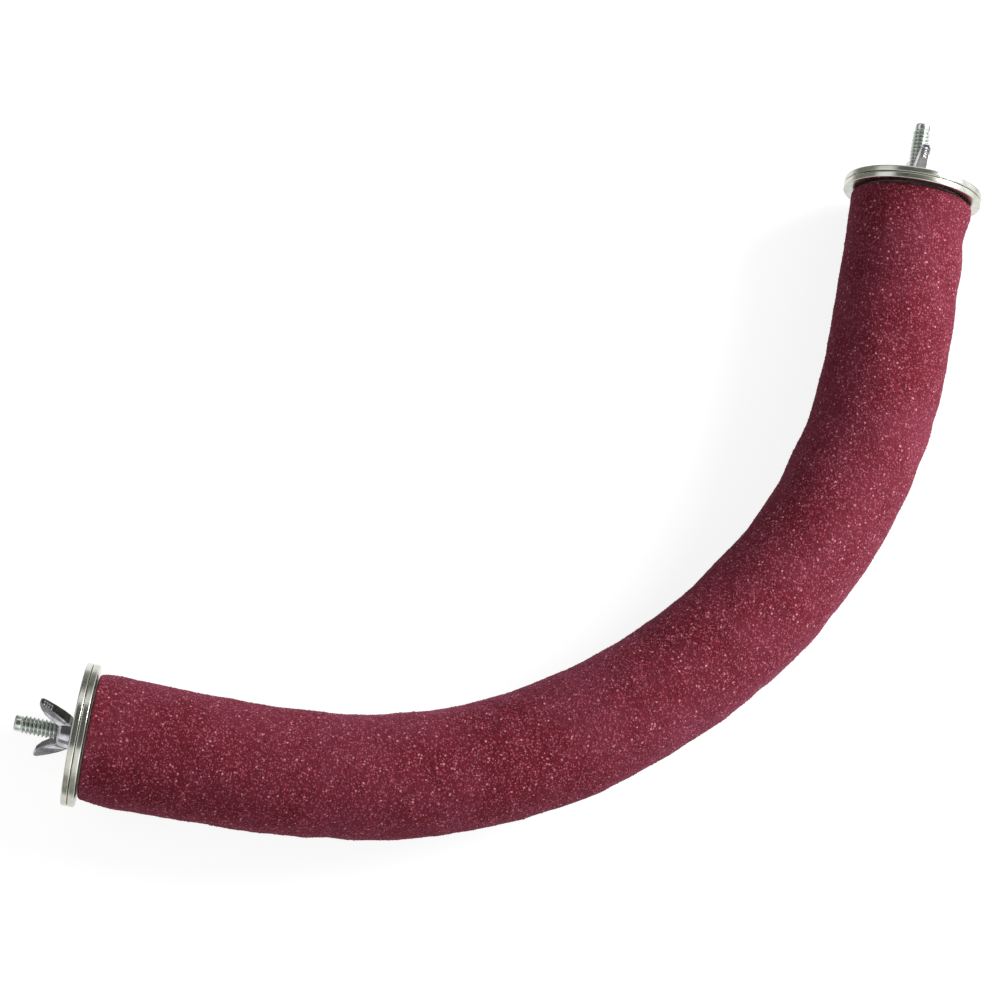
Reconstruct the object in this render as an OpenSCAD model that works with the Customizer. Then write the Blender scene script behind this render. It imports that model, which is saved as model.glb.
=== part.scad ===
// Curved grit perch for a bird cage, lying flat, with a clamp of two washers and a wing nut at each end

/* [Curve] */
// Radius of the bend, at the middle of the tube
bend_radius = 148; // [110:1:220]
// Angle that the tube turns through
bend_angle = 90; // [75:1:105]
// Straight run at the left end, from the bend to the end face
left_run_length = 45.5; // [38:0.5:80]
// Straight run at the right end, from the bend to the end face
right_run_length = 39.5; // [38:0.5:80]

/* [Tube] */
// Outside diameter of the plastic pipe
pipe_d = 30; // [24:0.5:36]
// Wall of the plastic pipe
pipe_wall = 2.5; // [1.5:0.1:4]
// Thickness of the grit layer on the pipe
grit_t = 1.6; // [1:0.1:3]
// Length of bare pipe left between the grit and each end face
grit_setback = 0.3; // [0:0.1:2]
// Rounding of the grit layer's lip
grit_lip = 1; // [0.4:0.1:1.5]

/* [End plugs] */
// Length of the wood plug in each end
plug_length = 30; // [26:0.5:36]
// Chamfer on the plug's inner end
plug_chamfer = 1.2; // [0.4:0.1:2.5]

/* [Studs] */
// Outside diameter of the machine thread
stud_d = 4.8; // [4:0.1:6]
// Pitch of the machine thread
thread_pitch = 1.0583; // [0.8:0.0001:1.3]
// Length of stud that stands past the left outer washer
left_stud_show = 15.8; // [13:0.1:30]
// Length of stud that stands past the right outer washer
right_stud_show = 18.3; // [13:0.1:30]
// Step in diameter from the thread down to the plain tip
tip_step = 0.6; // [0.4:0.05:0.9]
// Length of the plain tip, without its rounding
tip_length = 1; // [1:0.1:3]
// Rounding at the end of the tip
tip_round = 0.6; // [0.3:0.05:1]
// Depth that the wood screw reaches into the plug
screw_depth = 22; // [16:0.5:25]
// Pitch of the wood screw
screw_pitch = 2.1; // [1.6:0.1:2.6]
// Height of the wood screw's thread over its core
screw_height = 0.55; // [0.3:0.05:0.7]
// Length of the wood screw's point
screw_point = 4; // [3:0.1:6]

/* [Washers] */
// Outside diameter of each washer
washer_d = 38; // [34:0.5:50]
// Thickness of each washer
washer_t = 1.7; // [1:0.1:2.5]
// Rounding of the washer's rim
rim_round = 0.45; // [0.2:0.05:0.45]

/* [Wing nuts] */
// Diameter of the hub
hub_d = 8.4; // [7.8:0.1:11]
// Height of the hub
hub_h = 4.1; // [3.2:0.1:6]
// Diameter of the collar under the hub
collar_d = 7.8; // [7:0.1:8.4]
// Height of the collar
collar_h = 0.6; // [0.3:0.1:1]
// Distance across the two wing tips
wing_span = 19.2; // [18:0.5:28]
// Height of the wing tips over the nut's base
wing_h = 9.9; // [8:0.1:14]
// Thickness of a wing at its root
wing_root_t = 3.4; // [2:0.1:4]
// Thickness of a wing at its tip
wing_tip_t = 2.5; // [1.5:0.1:3]
// Radius of a wing's rounded tip
wing_tip_r = 1.1; // [0.8:0.1:2]
// Bevel along a wing's edges
wing_bevel = 0.45; // [0.2:0.05:0.6]
// Turn of the left nut's wings about its stud
left_wing_turn = 131; // [0:1:180]
// Turn of the right nut's wings about its stud
right_wing_turn = 93; // [0:1:180]

/* [Fits] */
// Radial play of a washer or a wing nut on the thread
running_gap = 0.09; // [0.03:0.01:0.1]
// Gap between flat faces that are drawn up by the wing nut
face_gap = 0.1; // [0.05:0.01:0.3]
// Gap between the stud and the wings above the hub
wing_gap = 0.3; // [0.2:0.05:0.6]
// Gap for the glue between layers that are bonded
glue_gap = 0.05; // [0.02:0.01:0.1]

/* [Hidden] */

round_steps = 96;
fine_steps = 64;
hull_steps = 32;
thread_steps = 18;
screw_steps = 16;
lip_steps = 8;
spot_steps = 24;

// One overrun for every cut
cut_over = 0.5;

// Tube
pipe_r = pipe_d / 2;
pipe_bore_r = pipe_r - pipe_wall;
grit_bore_r = pipe_r + glue_gap;
grit_r = pipe_r + grit_t;
lip_r = min(grit_lip, grit_r - grit_bore_r - glue_gap);
plug_r = pipe_bore_r - glue_gap;

// Machine thread, with flanks at 30 degrees to a plane across the stud
depth_share = 0.54;
crest_share = 1 / 8;
sink_share = 0.12;
fill_share = 0.94;
least_growth_share = 0.08;
fade_turns_share = 0.4;
neck_share = 0.3;
groove_lead_turns = 1;
groove_spare_turns = 3;
flank_angle = 30;
stud_r = stud_d / 2;
core_r = stud_r - depth_share * thread_pitch;
crest_half = crest_share * thread_pitch / 2;
thread_sink = sink_share * thread_pitch;
tip_r = stud_r - tip_step / 2;
tip_flat_r = tip_r - tip_round;

// Places along a stud, measured outwards from the tube's end face
inner_washer_z = face_gap;
outer_washer_z = inner_washer_z + washer_t + face_gap;
nut_z = outer_washer_z + washer_t + face_gap;
left_stud_end_z = outer_washer_z + washer_t + left_stud_show;
right_stud_end_z = outer_washer_z + washer_t + right_stud_show;
thread_start_z = face_gap;
screw_turns = (screw_depth - screw_point - screw_pitch) / screw_pitch;
screw_crest_share = 0.12;
pilot_r = core_r + glue_gap;

// Washers and wing nuts
washer_r = washer_d / 2;
hole_r = stud_r + running_gap;
hole_chamfer_share = 0.12;
hole_chamfer = hole_chamfer_share * washer_t;
nut_bore_r = tip_r + running_gap / 2;
nut_groove_r = stud_r + running_gap;
nut_groove_half = crest_half + running_gap / cos(flank_angle);
nut_clear_r = stud_r + wing_gap;
hub_r = hub_d / 2;
hub_taper_share = 0.12;
hub_top_r = hub_r - hub_taper_share * hub_h;
hub_round_share = 0.16;
hub_round = hub_round_share * hub_h;
wing_root_share = 0.38;
wing_root_r = wing_root_share * hub_h;
wing_root_place = [hub_r - wing_root_r / 2, collar_h + wing_root_r];
wing_tip_place = [wing_span / 2 - wing_tip_r, wing_h - wing_tip_r];
shoulder_reach_share = 0.52;
wing_shoulder_place = [
  wing_root_place.x + shoulder_reach_share * (wing_tip_place.x - wing_root_place.x),
  wing_tip_place.y
];

// Where the object lies: its box is centred over the origin and its lowest point is at zero
lie_z = max(washer_r, grit_r);
function turned(angle, p) = [p.x * cos(angle) - p.y * sin(angle), p.x * sin(angle) + p.y * cos(angle)];
function end_spots(run, stud_end_z, way) = [
  for (
    side = [-1, 1],
    spot = [[washer_r, inner_washer_z], [washer_r, nut_z - face_gap], [tip_flat_r, stud_end_z]]
  )
    [bend_radius + side * spot.x, way * (run + spot.y)]
];
arc_spots = [
  for (step = [0 : spot_steps])
    turned(-bend_angle * step / spot_steps, [bend_radius + grit_r, 0])
];
all_spots = concat(
  arc_spots,
  end_spots(right_run_length, right_stud_end_z, 1),
  [for (spot = end_spots(left_run_length, left_stud_end_z, -1)) turned(-bend_angle, spot)]
);
spots_x = [for (spot = all_spots) spot.x];
spots_y = [for (spot = all_spots) spot.y];
centre_x = (min(spots_x) + max(spots_x)) / 2;
centre_y = (min(spots_y) + max(spots_y)) / 2;

// Places for the two ends. Inside them +Z points out along the stud and +Y points up
module laid_down() {
  translate([-centre_x, -centre_y, lie_z]) children();
}

module right_end() {
  laid_down()
    translate([bend_radius, right_run_length, 0])
      rotate([-90, 0, 0])
        rotate([0, 0, 180])
          children();
}

module left_end() {
  laid_down()
    rotate([0, 0, -bend_angle])
      translate([bend_radius, -left_run_length, 0])
        rotate([90, 0, 0])
          children();
}

// A round layer that follows the whole tube, from radius r_in to r_out, with its lips rounded by lip
module bent_layer(r_in, r_out, setback, lip) {
  laid_down() {
    rotate([0, 0, -bend_angle])
      rotate_extrude(angle = bend_angle, $fn = round_steps)
        translate([bend_radius, 0]) difference() {
          circle(r = r_out);
          circle(r = r_in);
        }
    translate([bend_radius, 0, 0])
      rotate([-90, 0, 0])
        rotate([0, 0, 180])
          straight_layer(r_in, r_out, right_run_length - setback, lip);
    rotate([0, 0, -bend_angle])
      translate([bend_radius, 0, 0])
        rotate([90, 0, 0])
          straight_layer(r_in, r_out, left_run_length - setback, lip);
  }
}

// The straight part of a layer, which stands on the end of the bend and rises to the lip
module straight_layer(r_in, r_out, length, lip) {
  lip_arc = [
    for (step = [0 : lip_steps])
      let (angle = 90 * step / lip_steps)
        [r_out - lip + lip * cos(angle), length - lip + lip * sin(angle)]
  ];
  square_end = [[r_out, length]];
  rotate_extrude($fn = round_steps)
    polygon(concat([[r_in, length], [r_in, 0], [r_out, 0]], lip > 0 ? lip_arc : square_end));
}

// A thread as one closed band that winds up the Z axis, right-handed, sunk by sink into the core under it
module thread_band(start_z, pitch, turns, steps, root_r, crest_r, half, slope, sink) {
  count = ceil(turns * steps);
  fade = fade_turns_share * steps;
  root_half = half + (crest_r - root_r) * tan(slope);
  sink_half = min(root_half + sink * tan(slope), fill_share * pitch / 2);
  points = [
    for (i = [0 : count])
      let (
        angle = 360 * i / steps,
        z = start_z + pitch * i / steps,
        grown = max(least_growth_share, min(1, i / fade, (count - i) / fade)),
        r_low = root_r - sink,
        r_high = root_r + (crest_r - root_r) * grown,
        high_half = half + (crest_r - r_high) * tan(slope) * grown
      )
      each [
        [r_low * cos(angle), r_low * sin(angle), z - sink_half],
        [r_high * cos(angle), r_high * sin(angle), z - high_half],
        [r_high * cos(angle), r_high * sin(angle), z + high_half],
        [r_low * cos(angle), r_low * sin(angle), z + sink_half]
      ]
  ];
  sides = [
    for (i = [0 : count - 1], j = [0 : 3])
      let (a = 4 * i + j, b = 4 * i + (j + 1) % 4)
        each [[a, b, b + 4], [a, b + 4, a + 4]]
  ];
  last = 4 * count;
  polyhedron(points, concat([[3, 2, 1, 0]], sides, [[last, last + 1, last + 2, last + 3]]));
}

module grit_coating() {
  color([0.47, 0.21, 0.26]) bent_layer(grit_bore_r, grit_r, grit_setback, lip_r);
}

module core_pipe() {
  color([0.92, 0.92, 0.89]) bent_layer(pipe_bore_r, pipe_r, 0, 0);
}

// Wood plug, flush with the pipe's end, drilled for the wood screw
module end_plug() {
  color([0.80, 0.65, 0.44])
    rotate_extrude($fn = round_steps)
      polygon([
        [pilot_r, 0],
        [plug_r, 0],
        [plug_r, -plug_length + plug_chamfer],
        [plug_r - plug_chamfer, -plug_length],
        [0, -plug_length],
        [0, -screw_depth - glue_gap],
        [pilot_r, -screw_depth + screw_point - glue_gap]
      ]);
}

// Hanger bolt: a wood screw inwards, a machine thread outwards and a plain tip
module stud(stud_end_z) {
  tip_z = stud_end_z - tip_round - tip_length;
  thread_end_z = tip_z - neck_share * thread_pitch;
  thread_turns = (thread_end_z - thread_start_z) / thread_pitch;
  tip_arc = [
    for (step = [0 : lip_steps])
      let (angle = 90 * step / lip_steps)
        [tip_r - tip_round + tip_round * cos(angle), stud_end_z - tip_round + tip_round * sin(angle)]
  ];
  color([0.66, 0.68, 0.66]) {
    rotate_extrude($fn = fine_steps)
      polygon(concat(
        [
          [0, stud_end_z],
          [0, -screw_depth],
          [core_r, -screw_depth + screw_point],
          [core_r, thread_end_z],
          [tip_r, tip_z]
        ],
        tip_arc
      ));
    thread_band(
      thread_start_z, thread_pitch, thread_turns, thread_steps,
      core_r, stud_r, crest_half, flank_angle, thread_sink
    );
    thread_band(
      -screw_depth + screw_point, screw_pitch, screw_turns, screw_steps,
      core_r, core_r + screw_height, screw_crest_share * screw_pitch / 2, flank_angle, thread_sink
    );
  }
}

module washer() {
  rim = [
    for (side = [0, 1], step = [0 : lip_steps])
      let (angle = side == 0 ? -90 + 90 * step / lip_steps : 90 * step / lip_steps)
        [washer_r - rim_round + rim_round * cos(angle),
         (side == 0 ? rim_round : washer_t - rim_round) + rim_round * sin(angle)]
  ];
  color([0.85, 0.85, 0.83])
    rotate_extrude($fn = round_steps)
      polygon(concat(
        [
          [hole_r + hole_chamfer, washer_t],
          [hole_r, washer_t - hole_chamfer],
          [hole_r, hole_chamfer],
          [hole_r + hole_chamfer, 0]
        ],
        rim
      ));
}

// A bevelled disc across a wing's thickness, at place = [distance from the axis, height]
module wing_disc(place, r, t) {
  translate([place.x, 0, place.y]) rotate([90, 0, 0]) {
    cylinder(r = r, h = t - 2 * wing_bevel, center = true, $fn = hull_steps);
    cylinder(r = r - wing_bevel, h = t, center = true, $fn = hull_steps);
  }
}

module wing() {
  hull() {
    wing_disc(wing_root_place, wing_root_r, wing_root_t);
    wing_disc(wing_shoulder_place, wing_tip_r, (wing_root_t + wing_tip_t) / 2);
    wing_disc(wing_tip_place, wing_tip_r, wing_tip_t);
  }
}

// Wing nut with its base at zero. The groove has the stud's own thread, so the two are in mesh at rest
module wing_nut(wing_turn) {
  groove_start = thread_start_z - nut_z - thread_pitch;
  groove_skip = floor(-groove_start / thread_pitch) - groove_lead_turns;
  hub_arc = [
    for (step = [0 : lip_steps])
      let (angle = 90 * step / lip_steps)
        [hub_top_r - hub_round + hub_round * cos(angle), hub_h - hub_round + hub_round * sin(angle)]
  ];
  color([0.62, 0.61, 0.63])
    difference() {
      union() {
        rotate_extrude($fn = fine_steps)
          polygon(concat(
            [[0, 0], [collar_d / 2, 0], [collar_d / 2, collar_h], [hub_r, collar_h]],
            hub_arc,
            [[0, hub_h]]
          ));
        rotate([0, 0, wing_turn]) wing();
        rotate([0, 0, wing_turn + 180]) wing();
      }
      translate([0, 0, -cut_over]) cylinder(r = nut_bore_r, h = hub_h + 2 * cut_over, $fn = fine_steps);
      translate([0, 0, hub_h]) cylinder(r = nut_clear_r, h = wing_h, $fn = fine_steps);
      thread_band(
        groove_start + groove_skip * thread_pitch, thread_pitch,
        ceil(hub_h / thread_pitch) + groove_spare_turns, thread_steps,
        nut_bore_r, nut_groove_r, nut_groove_half, flank_angle, glue_gap
      );
    }
}

module left_end_plug() {
  left_end() end_plug();
}

module right_end_plug() {
  right_end() end_plug();
}

module left_stud() {
  left_end() stud(left_stud_end_z);
}

module right_stud() {
  right_end() stud(right_stud_end_z);
}

module left_inner_washer() {
  left_end() translate([0, 0, inner_washer_z]) washer();
}

module right_inner_washer() {
  right_end() translate([0, 0, inner_washer_z]) washer();
}

module left_outer_washer() {
  left_end() translate([0, 0, outer_washer_z]) washer();
}

module right_outer_washer() {
  right_end() translate([0, 0, outer_washer_z]) washer();
}

module left_wing_nut() {
  left_end() translate([0, 0, nut_z]) wing_nut(left_wing_turn);
}

module right_wing_nut() {
  right_end() translate([0, 0, nut_z]) wing_nut(right_wing_turn);
}

grit_coating();
core_pipe();
left_end_plug();
left_stud();
left_inner_washer();
left_outer_washer();
left_wing_nut();
right_end_plug();
right_stud();
right_inner_washer();
right_outer_washer();
right_wing_nut();
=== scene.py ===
import math

import bmesh
import bpy
from mathutils import Matrix, Vector, noise


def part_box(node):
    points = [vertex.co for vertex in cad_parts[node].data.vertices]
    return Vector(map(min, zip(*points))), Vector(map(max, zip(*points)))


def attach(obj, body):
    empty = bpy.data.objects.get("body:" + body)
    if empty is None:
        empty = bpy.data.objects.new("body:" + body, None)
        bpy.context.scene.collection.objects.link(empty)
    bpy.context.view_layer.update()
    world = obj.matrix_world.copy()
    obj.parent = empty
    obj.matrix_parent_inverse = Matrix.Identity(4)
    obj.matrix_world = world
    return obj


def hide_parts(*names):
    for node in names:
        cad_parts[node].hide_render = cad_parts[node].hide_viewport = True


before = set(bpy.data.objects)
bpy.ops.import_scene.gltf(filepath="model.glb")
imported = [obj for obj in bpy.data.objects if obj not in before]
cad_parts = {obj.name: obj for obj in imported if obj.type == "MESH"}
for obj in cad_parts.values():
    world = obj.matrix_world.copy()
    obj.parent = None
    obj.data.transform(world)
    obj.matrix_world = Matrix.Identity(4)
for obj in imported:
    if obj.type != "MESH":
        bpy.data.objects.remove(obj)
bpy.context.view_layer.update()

print("frame loaded,", len(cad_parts), "nodes")

mm = 0.001  # sizes below are in mm, the scene is in metres

# The camera stands where the photo's vanishing lines put it
camera = {
    "place": (-53.91, -200.46, 939.14),
    "looksAlong": (0.05746, 0.19925, -0.97826),
    "up": (-0.18557, 0.96494, 0.18564),
    "lens": 125.37,
    "sensor": 36.0,
    "nearest": 0.01,
    "farthest": 20,
}


def placeCamera():
    data = bpy.data.cameras.new("photoCamera")
    data.lens = camera["lens"]
    data.sensor_width = camera["sensor"]
    data.clip_start = camera["nearest"]
    data.clip_end = camera["farthest"]
    back = -Vector(camera["looksAlong"]).normalized()
    side = Vector(camera["up"]).cross(back).normalized()
    rise = back.cross(side)
    photoCamera = bpy.data.objects.new("photoCamera", data)
    turn = Matrix((side, rise, back)).transposed().to_4x4()
    photoCamera.matrix_world = Matrix.Translation(Vector(camera["place"]) * mm) @ turn
    bpy.context.scene.collection.objects.link(photoCamera)
    bpy.context.scene.camera = photoCamera


placeCamera()

# Helpers for node trees


def srgb(red, green, blue):
    def linear(value):
        share = value / 255
        return share / 12.92 if share <= 0.04045 else ((share + 0.055) / 1.055) ** 2.4

    return (linear(red), linear(green), linear(blue), 1.0)


# A value is either another node's output or a constant
def setSocket(tree, socket, value):
    if isinstance(value, bpy.types.NodeSocket):
        tree.links.new(value, socket)
    else:
        socket.default_value = value


def feed(tree, node, wires):
    for key, value in wires.items():
        setSocket(tree, node.inputs[key], value)


def addNode(tree, kind, wires=None, **settings):
    made = tree.nodes.new(kind)
    for key, value in settings.items():
        setattr(made, key, value)
    feed(tree, made, wires or {})
    return made


def calc(tree, operation, first, second=0.0, third=0.0):
    return addNode(tree, "ShaderNodeMath", {0: first, 1: second, 2: third}, operation=operation).outputs[0]


def spread(tree, value, fromLow, fromHigh, toLow=0.0, toHigh=1.0, soft=True):
    kind = "SMOOTHSTEP" if soft else "LINEAR"
    wires = {0: value, 1: fromLow, 2: fromHigh, 3: toLow, 4: toHigh}
    return addNode(tree, "ShaderNodeMapRange", wires, interpolation_type=kind).outputs[0]


def scaleVector(tree, vector, scale):
    return addNode(tree, "ShaderNodeVectorMath", {0: vector, "Scale": scale}, operation="SCALE").outputs[0]


def blendColours(tree, share, first, second):
    wires = {0: share, 6: first, 7: second}
    return addNode(tree, "ShaderNodeMix", wires, data_type="RGBA", blend_type="MIX").outputs[2]


def noiseAt(tree, place, size, detail=2.0, rough=0.5, seed=0.0):
    wires = {"Vector": place, "Scale": 1 / (size * mm), "Detail": detail, "Roughness": rough, "W": seed}
    return addNode(tree, "ShaderNodeTexNoise", wires, noise_dimensions="4D").outputs[0]


def bumpFrom(tree, height, depth, strength=1.0):
    wires = {"Strength": strength, "Distance": depth * mm, "Height": height}
    return addNode(tree, "ShaderNodeBump", wires).outputs[0]


def storedShare(tree, label):
    return addNode(tree, "ShaderNodeAttribute", attribute_name=label).outputs["Fac"]


def startMaterial(name):
    material = bpy.data.materials.new(name)
    material.use_nodes = True
    tree = material.node_tree
    shader = tree.nodes["Principled BSDF"]
    place = addNode(tree, "ShaderNodeTexCoord").outputs["Object"]
    return material, tree, shader, place


def startTree(name, sizes):
    tree = bpy.data.node_groups.new(name, "GeometryNodeTree")
    tree.interface.new_socket("Geometry", in_out="OUTPUT", socket_type="NodeSocketGeometry")
    tree.interface.new_socket("Geometry", in_out="INPUT", socket_type="NodeSocketGeometry")
    for label, value in sizes.items():
        kind = "NodeSocketInt" if isinstance(value, int) else "NodeSocketFloat"
        tree.interface.new_socket(label, in_out="INPUT", socket_type=kind).default_value = value
    tree.interface.new_socket("Finish", in_out="INPUT", socket_type="NodeSocketMaterial")
    return tree, addNode(tree, "NodeGroupInput").outputs


def endTree(tree, inputs, geometry):
    real = addNode(tree, "GeometryNodeRealizeInstances", {0: geometry}).outputs[0]
    wires = {"Geometry": real, "Material": inputs["Finish"]}
    addNode(tree, "NodeGroupOutput", {0: addNode(tree, "GeometryNodeSetMaterial", wires).outputs[0]})


def namedValue(tree, label, kind="FLOAT"):
    return addNode(tree, "GeometryNodeInputNamedAttribute", {"Name": label}, data_type=kind).outputs[0]


def storeValue(tree, geometry, label, value, domain):
    wires = {"Geometry": geometry, "Name": label, "Value": value}
    stored = addNode(tree, "GeometryNodeStoreNamedAttribute", wires, data_type="FLOAT", domain=domain)
    return stored.outputs[0]


def randomShare(tree, seed):
    return addNode(tree, "FunctionNodeRandomValue", {"Seed": seed}, data_type="FLOAT").outputs[1]


def randomVector(tree, low, high, seed):
    wires = {"Min": (low, low, low), "Max": (high, high, high), "Seed": seed}
    return addNode(tree, "FunctionNodeRandomValue", wires, data_type="FLOAT_VECTOR").outputs[0]


# Helpers for meshes and pieces


def addObject(name, data):
    made = bpy.data.objects.new(name, data)
    bpy.context.scene.collection.objects.link(made)
    return made


def evaluatedMesh(carrier, **settings):
    depsgraph = bpy.context.evaluated_depsgraph_get()
    shaped = carrier.evaluated_get(depsgraph)
    return bpy.data.meshes.new_from_object(shaped, depsgraph=depsgraph, **settings)


def runTree(tree, mesh, finish, sizes=None):
    values = dict(sizes or {}, Finish=finish)
    carrier = addObject("carrier", mesh)
    modifier = carrier.modifiers.new(tree.name, "NODES")
    modifier.node_group = tree
    for item in tree.interface.items_tree:
        if item.in_out == "INPUT" and item.name in values:
            modifier[item.identifier] = values[item.name]
    made = evaluatedMesh(carrier, preserve_all_data_layers=True)
    carrier.modifiers.remove(modifier)
    bpy.data.objects.remove(carrier)
    return made


def meshFrom(name, points, faces, edges=()):
    mesh = bpy.data.meshes.new(name)
    mesh.from_pydata(points, edges, faces)
    return mesh


def cleanMesh(mesh, gap=0.0005 * mm):
    work = bmesh.new()
    work.from_mesh(mesh)
    bmesh.ops.remove_doubles(work, verts=work.verts, dist=gap)
    bmesh.ops.recalc_face_normals(work, faces=work.faces)
    work.to_mesh(mesh)
    work.free()
    return mesh


def addPiece(name, mesh, body, finish=None, replaced=(), sharpAngle=None):
    if finish is not None:
        mesh.materials.clear()
        mesh.materials.append(finish)
    mesh.shade_smooth()
    if sharpAngle is not None:
        mesh.set_sharp_from_angle(angle=math.radians(sharpAngle))
    mesh.name = name
    piece = addObject(name, mesh)
    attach(piece, body)
    if replaced:
        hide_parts(*replaced)
    print("piece", name, len(mesh.polygons), "faces")
    return piece


# A closed solid turned about Z, from (radius, height) points. They start and end on the axis, or meet
def turnedMesh(name, outline, sides, closed=False):
    rings = []
    points = []
    for radius, height in outline:
        if radius == 0:
            rings.append([len(points)])
            points.append((0, 0, height))
            continue
        rings.append(list(range(len(points), len(points) + sides)))
        for step in range(sides):
            angle = 2 * math.pi * step / sides
            points.append((radius * math.cos(angle), radius * math.sin(angle), height))
    pairs = list(zip(rings, rings[1:] + rings[:1])) if closed else list(zip(rings, rings[1:]))
    faces = []
    for low, high in pairs:
        for step in range(sides):
            after = (step + 1) % sides
            if len(low) == 1:
                faces.append((low[0], high[step], high[after]))
            elif len(high) == 1:
                faces.append((low[step], low[after], high[0]))
            else:
                faces.append((low[step], low[after], high[after], high[step]))
    return cleanMesh(meshFrom(name, points, faces), gap=0.01 * mm * mm)


# The tube's line: a straight run, a quarter bend and a straight run, placed by the pipe's own box
tube = {
    "pipeRadius": 15.0,
    "bendRadius": 148.0,
}

pipeLow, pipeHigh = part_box("core_pipe")
axisZ = (pipeLow.z + pipeHigh.z) / 2
leftAxisY = pipeLow.y + tube["pipeRadius"] * mm
rightAxisX = pipeHigh.x - tube["pipeRadius"] * mm
bendR = tube["bendRadius"] * mm
bendCentre = Vector((rightAxisX - bendR, leftAxisY + bendR, axisZ))
leftRun = bendCentre.x - pipeLow.x
rightRun = pipeHigh.y - bendCentre.y
bendLength = bendR * math.pi / 2
tubeLength = leftRun + bendLength + rightRun


def tubePoint(distance):
    if distance <= leftRun:
        return Vector((pipeLow.x + distance, leftAxisY, axisZ))
    if distance >= leftRun + bendLength:
        return Vector((rightAxisX, bendCentre.y + distance - leftRun - bendLength, axisZ))
    angle = (distance - leftRun) / bendR
    return bendCentre + bendR * Vector((math.sin(angle), -math.cos(angle), 0))


# At each end, +Z runs out along the stud and +Y is up
endPlaces = {
    "left": Matrix(((0, 0, -1, pipeLow.x), (-1, 0, 0, leftAxisY), (0, 1, 0, axisZ), (0, 0, 0, 1))),
    "right": Matrix(((-1, 0, 0, rightAxisX), (0, 0, 1, pipeHigh.y), (0, 1, 0, axisZ), (0, 0, 0, 1))),
}


def toEnd(mesh, side, outBy=0.0):
    mesh.transform(endPlaces[side] @ Matrix.Translation((0, 0, outBy)))
    return mesh


# Finishes. Where a value is a pair, the first is the low end and the second the high end
grit = {
    "deepWine": srgb(86, 18, 31),
    "redWine": srgb(122, 32, 43),
    "mottleSize": 0.8,
    "mottleBand": (0.36, 0.64),
    "mauve": srgb(127, 51, 69),
    "mauveShare": 0.6,
    "patchSize": 23.0,
    "patchBand": (0.35, 0.66),
    "speck": srgb(184, 98, 115),
    "paleSpeck": srgb(230, 152, 165),
    "speckEdge": (0.5, 0.25),
    "speckDome": (0.7, 0.0),
    "speckBend": 0.5,
    "speckBendSize": 0.7,
    "speckBendSeed": 6.6,
    "paintedLipShade": srgb(56, 17, 25),  # painted shade at the lips, where the gap against the washer lies in shadow; no loose grit is laid there
    "lipShadeBand": (0.37, 0.25),
    "fineGrainSize": 0.5,
    "grainDepth": 0.2,
    "grainStrength": 0.8,
    "rough": (0.78, 0.92),
    "shine": 0.12,
    "haze": srgb(236, 138, 178),  # the dusty mauve bloom where light grazes the grit
    "hazeWeight": 0.26,
    "hazeRough": 0.5,
}
# Size, the share of cells that hold a speck, colour and strength
speckLayers = [
    (0.72, 0.3, "speck", 0.66),
    (0.56, 0.4, "speck", 0.6),
    (0.756, 0.055, "paleSpeck", 0.8),
]


# The place is bent by a small noise first, so that no speck has a straight edge
def bentPlace(tree, place):
    wires = {"Vector": place, "Scale": 1 / (grit["speckBendSize"] * mm), "W": grit["speckBendSeed"]}
    waver = addNode(tree, "ShaderNodeTexNoise", wires, noise_dimensions="4D").outputs["Color"]
    reach = grit["speckBend"] * mm
    wires = {0: waver, 1: (reach, reach, reach), 2: place}
    return addNode(tree, "ShaderNodeVectorMath", wires, operation="MULTIPLY_ADD").outputs[0]


def gritFinish():
    material, tree, shader, place = startMaterial("gritCoat")
    patches = noiseAt(tree, place, grit["patchSize"], detail=3, rough=0.6, seed=1.3)
    mottle = noiseAt(tree, place, grit["mottleSize"], detail=3, rough=0.7, seed=2.1)
    patches = spread(tree, patches, *grit["patchBand"])
    mottle = spread(tree, mottle, *grit["mottleBand"])
    base = blendColours(tree, mottle, grit["deepWine"], grit["redWine"])
    base = blendColours(tree, calc(tree, "MULTIPLY", patches, grit["mauveShare"]), base, grit["mauve"])
    bent = bentPlace(tree, place)
    domes = []
    for size, share, colour, strength in speckLayers:
        wires = {"Vector": bent, "Scale": 1 / (size * mm)}
        cells = addNode(tree, "ShaderNodeTexVoronoi", wires, feature="F1").outputs
        chance = addNode(tree, "ShaderNodeSeparateColor", {0: cells["Color"]}).outputs
        picked = calc(tree, "LESS_THAN", chance[0], share)
        blob = spread(tree, cells["Distance"], *grit["speckEdge"])
        mask = calc(tree, "MULTIPLY", calc(tree, "MULTIPLY", picked, blob), strength)
        base = blendColours(tree, mask, base, grit[colour])
        domes.append(calc(tree, "MULTIPLY", spread(tree, cells["Distance"], *grit["speckDome"]), chance[1]))
    # painted shade: the lip's colour is darkened where the shadow gap against the washer falls
    lipShadeMask = spread(tree, storedShare(tree, "roughShare"), *grit["lipShadeBand"])
    fineGrain = noiseAt(tree, place, grit["fineGrainSize"], detail=3, rough=0.7, seed=4.2)
    height = calc(tree, "ADD", calc(tree, "ADD", domes[0], domes[1]), fineGrain)
    feed(tree, shader, {
        "Base Color": blendColours(tree, lipShadeMask, base, grit["paintedLipShade"]),
        "Normal": bumpFrom(tree, height, grit["grainDepth"], grit["grainStrength"]),
        "Roughness": spread(tree, mottle, 0, 1, *grit["rough"]),
        "Specular IOR Level": grit["shine"],
        "Sheen Weight": grit["hazeWeight"],
        "Sheen Roughness": grit["hazeRough"],
        "Sheen Tint": grit["haze"],
    })
    return material


wineGrains = {
    "dark": srgb(80, 16, 30),
    "light": srgb(152, 60, 80),
    "fewLight": 1.2,  # the higher, the fewer grains are light
    "rough": (0.8, 0.56),
}
paleCrystals = {
    "dark": srgb(162, 74, 94),
    "light": srgb(230, 154, 167),
    "fewLight": 2.2,
    "rough": (0.45, 0.315),
}
grainShine = 0.2
grainVeins = {"size": 0.3, "strength": 0.3}


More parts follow.
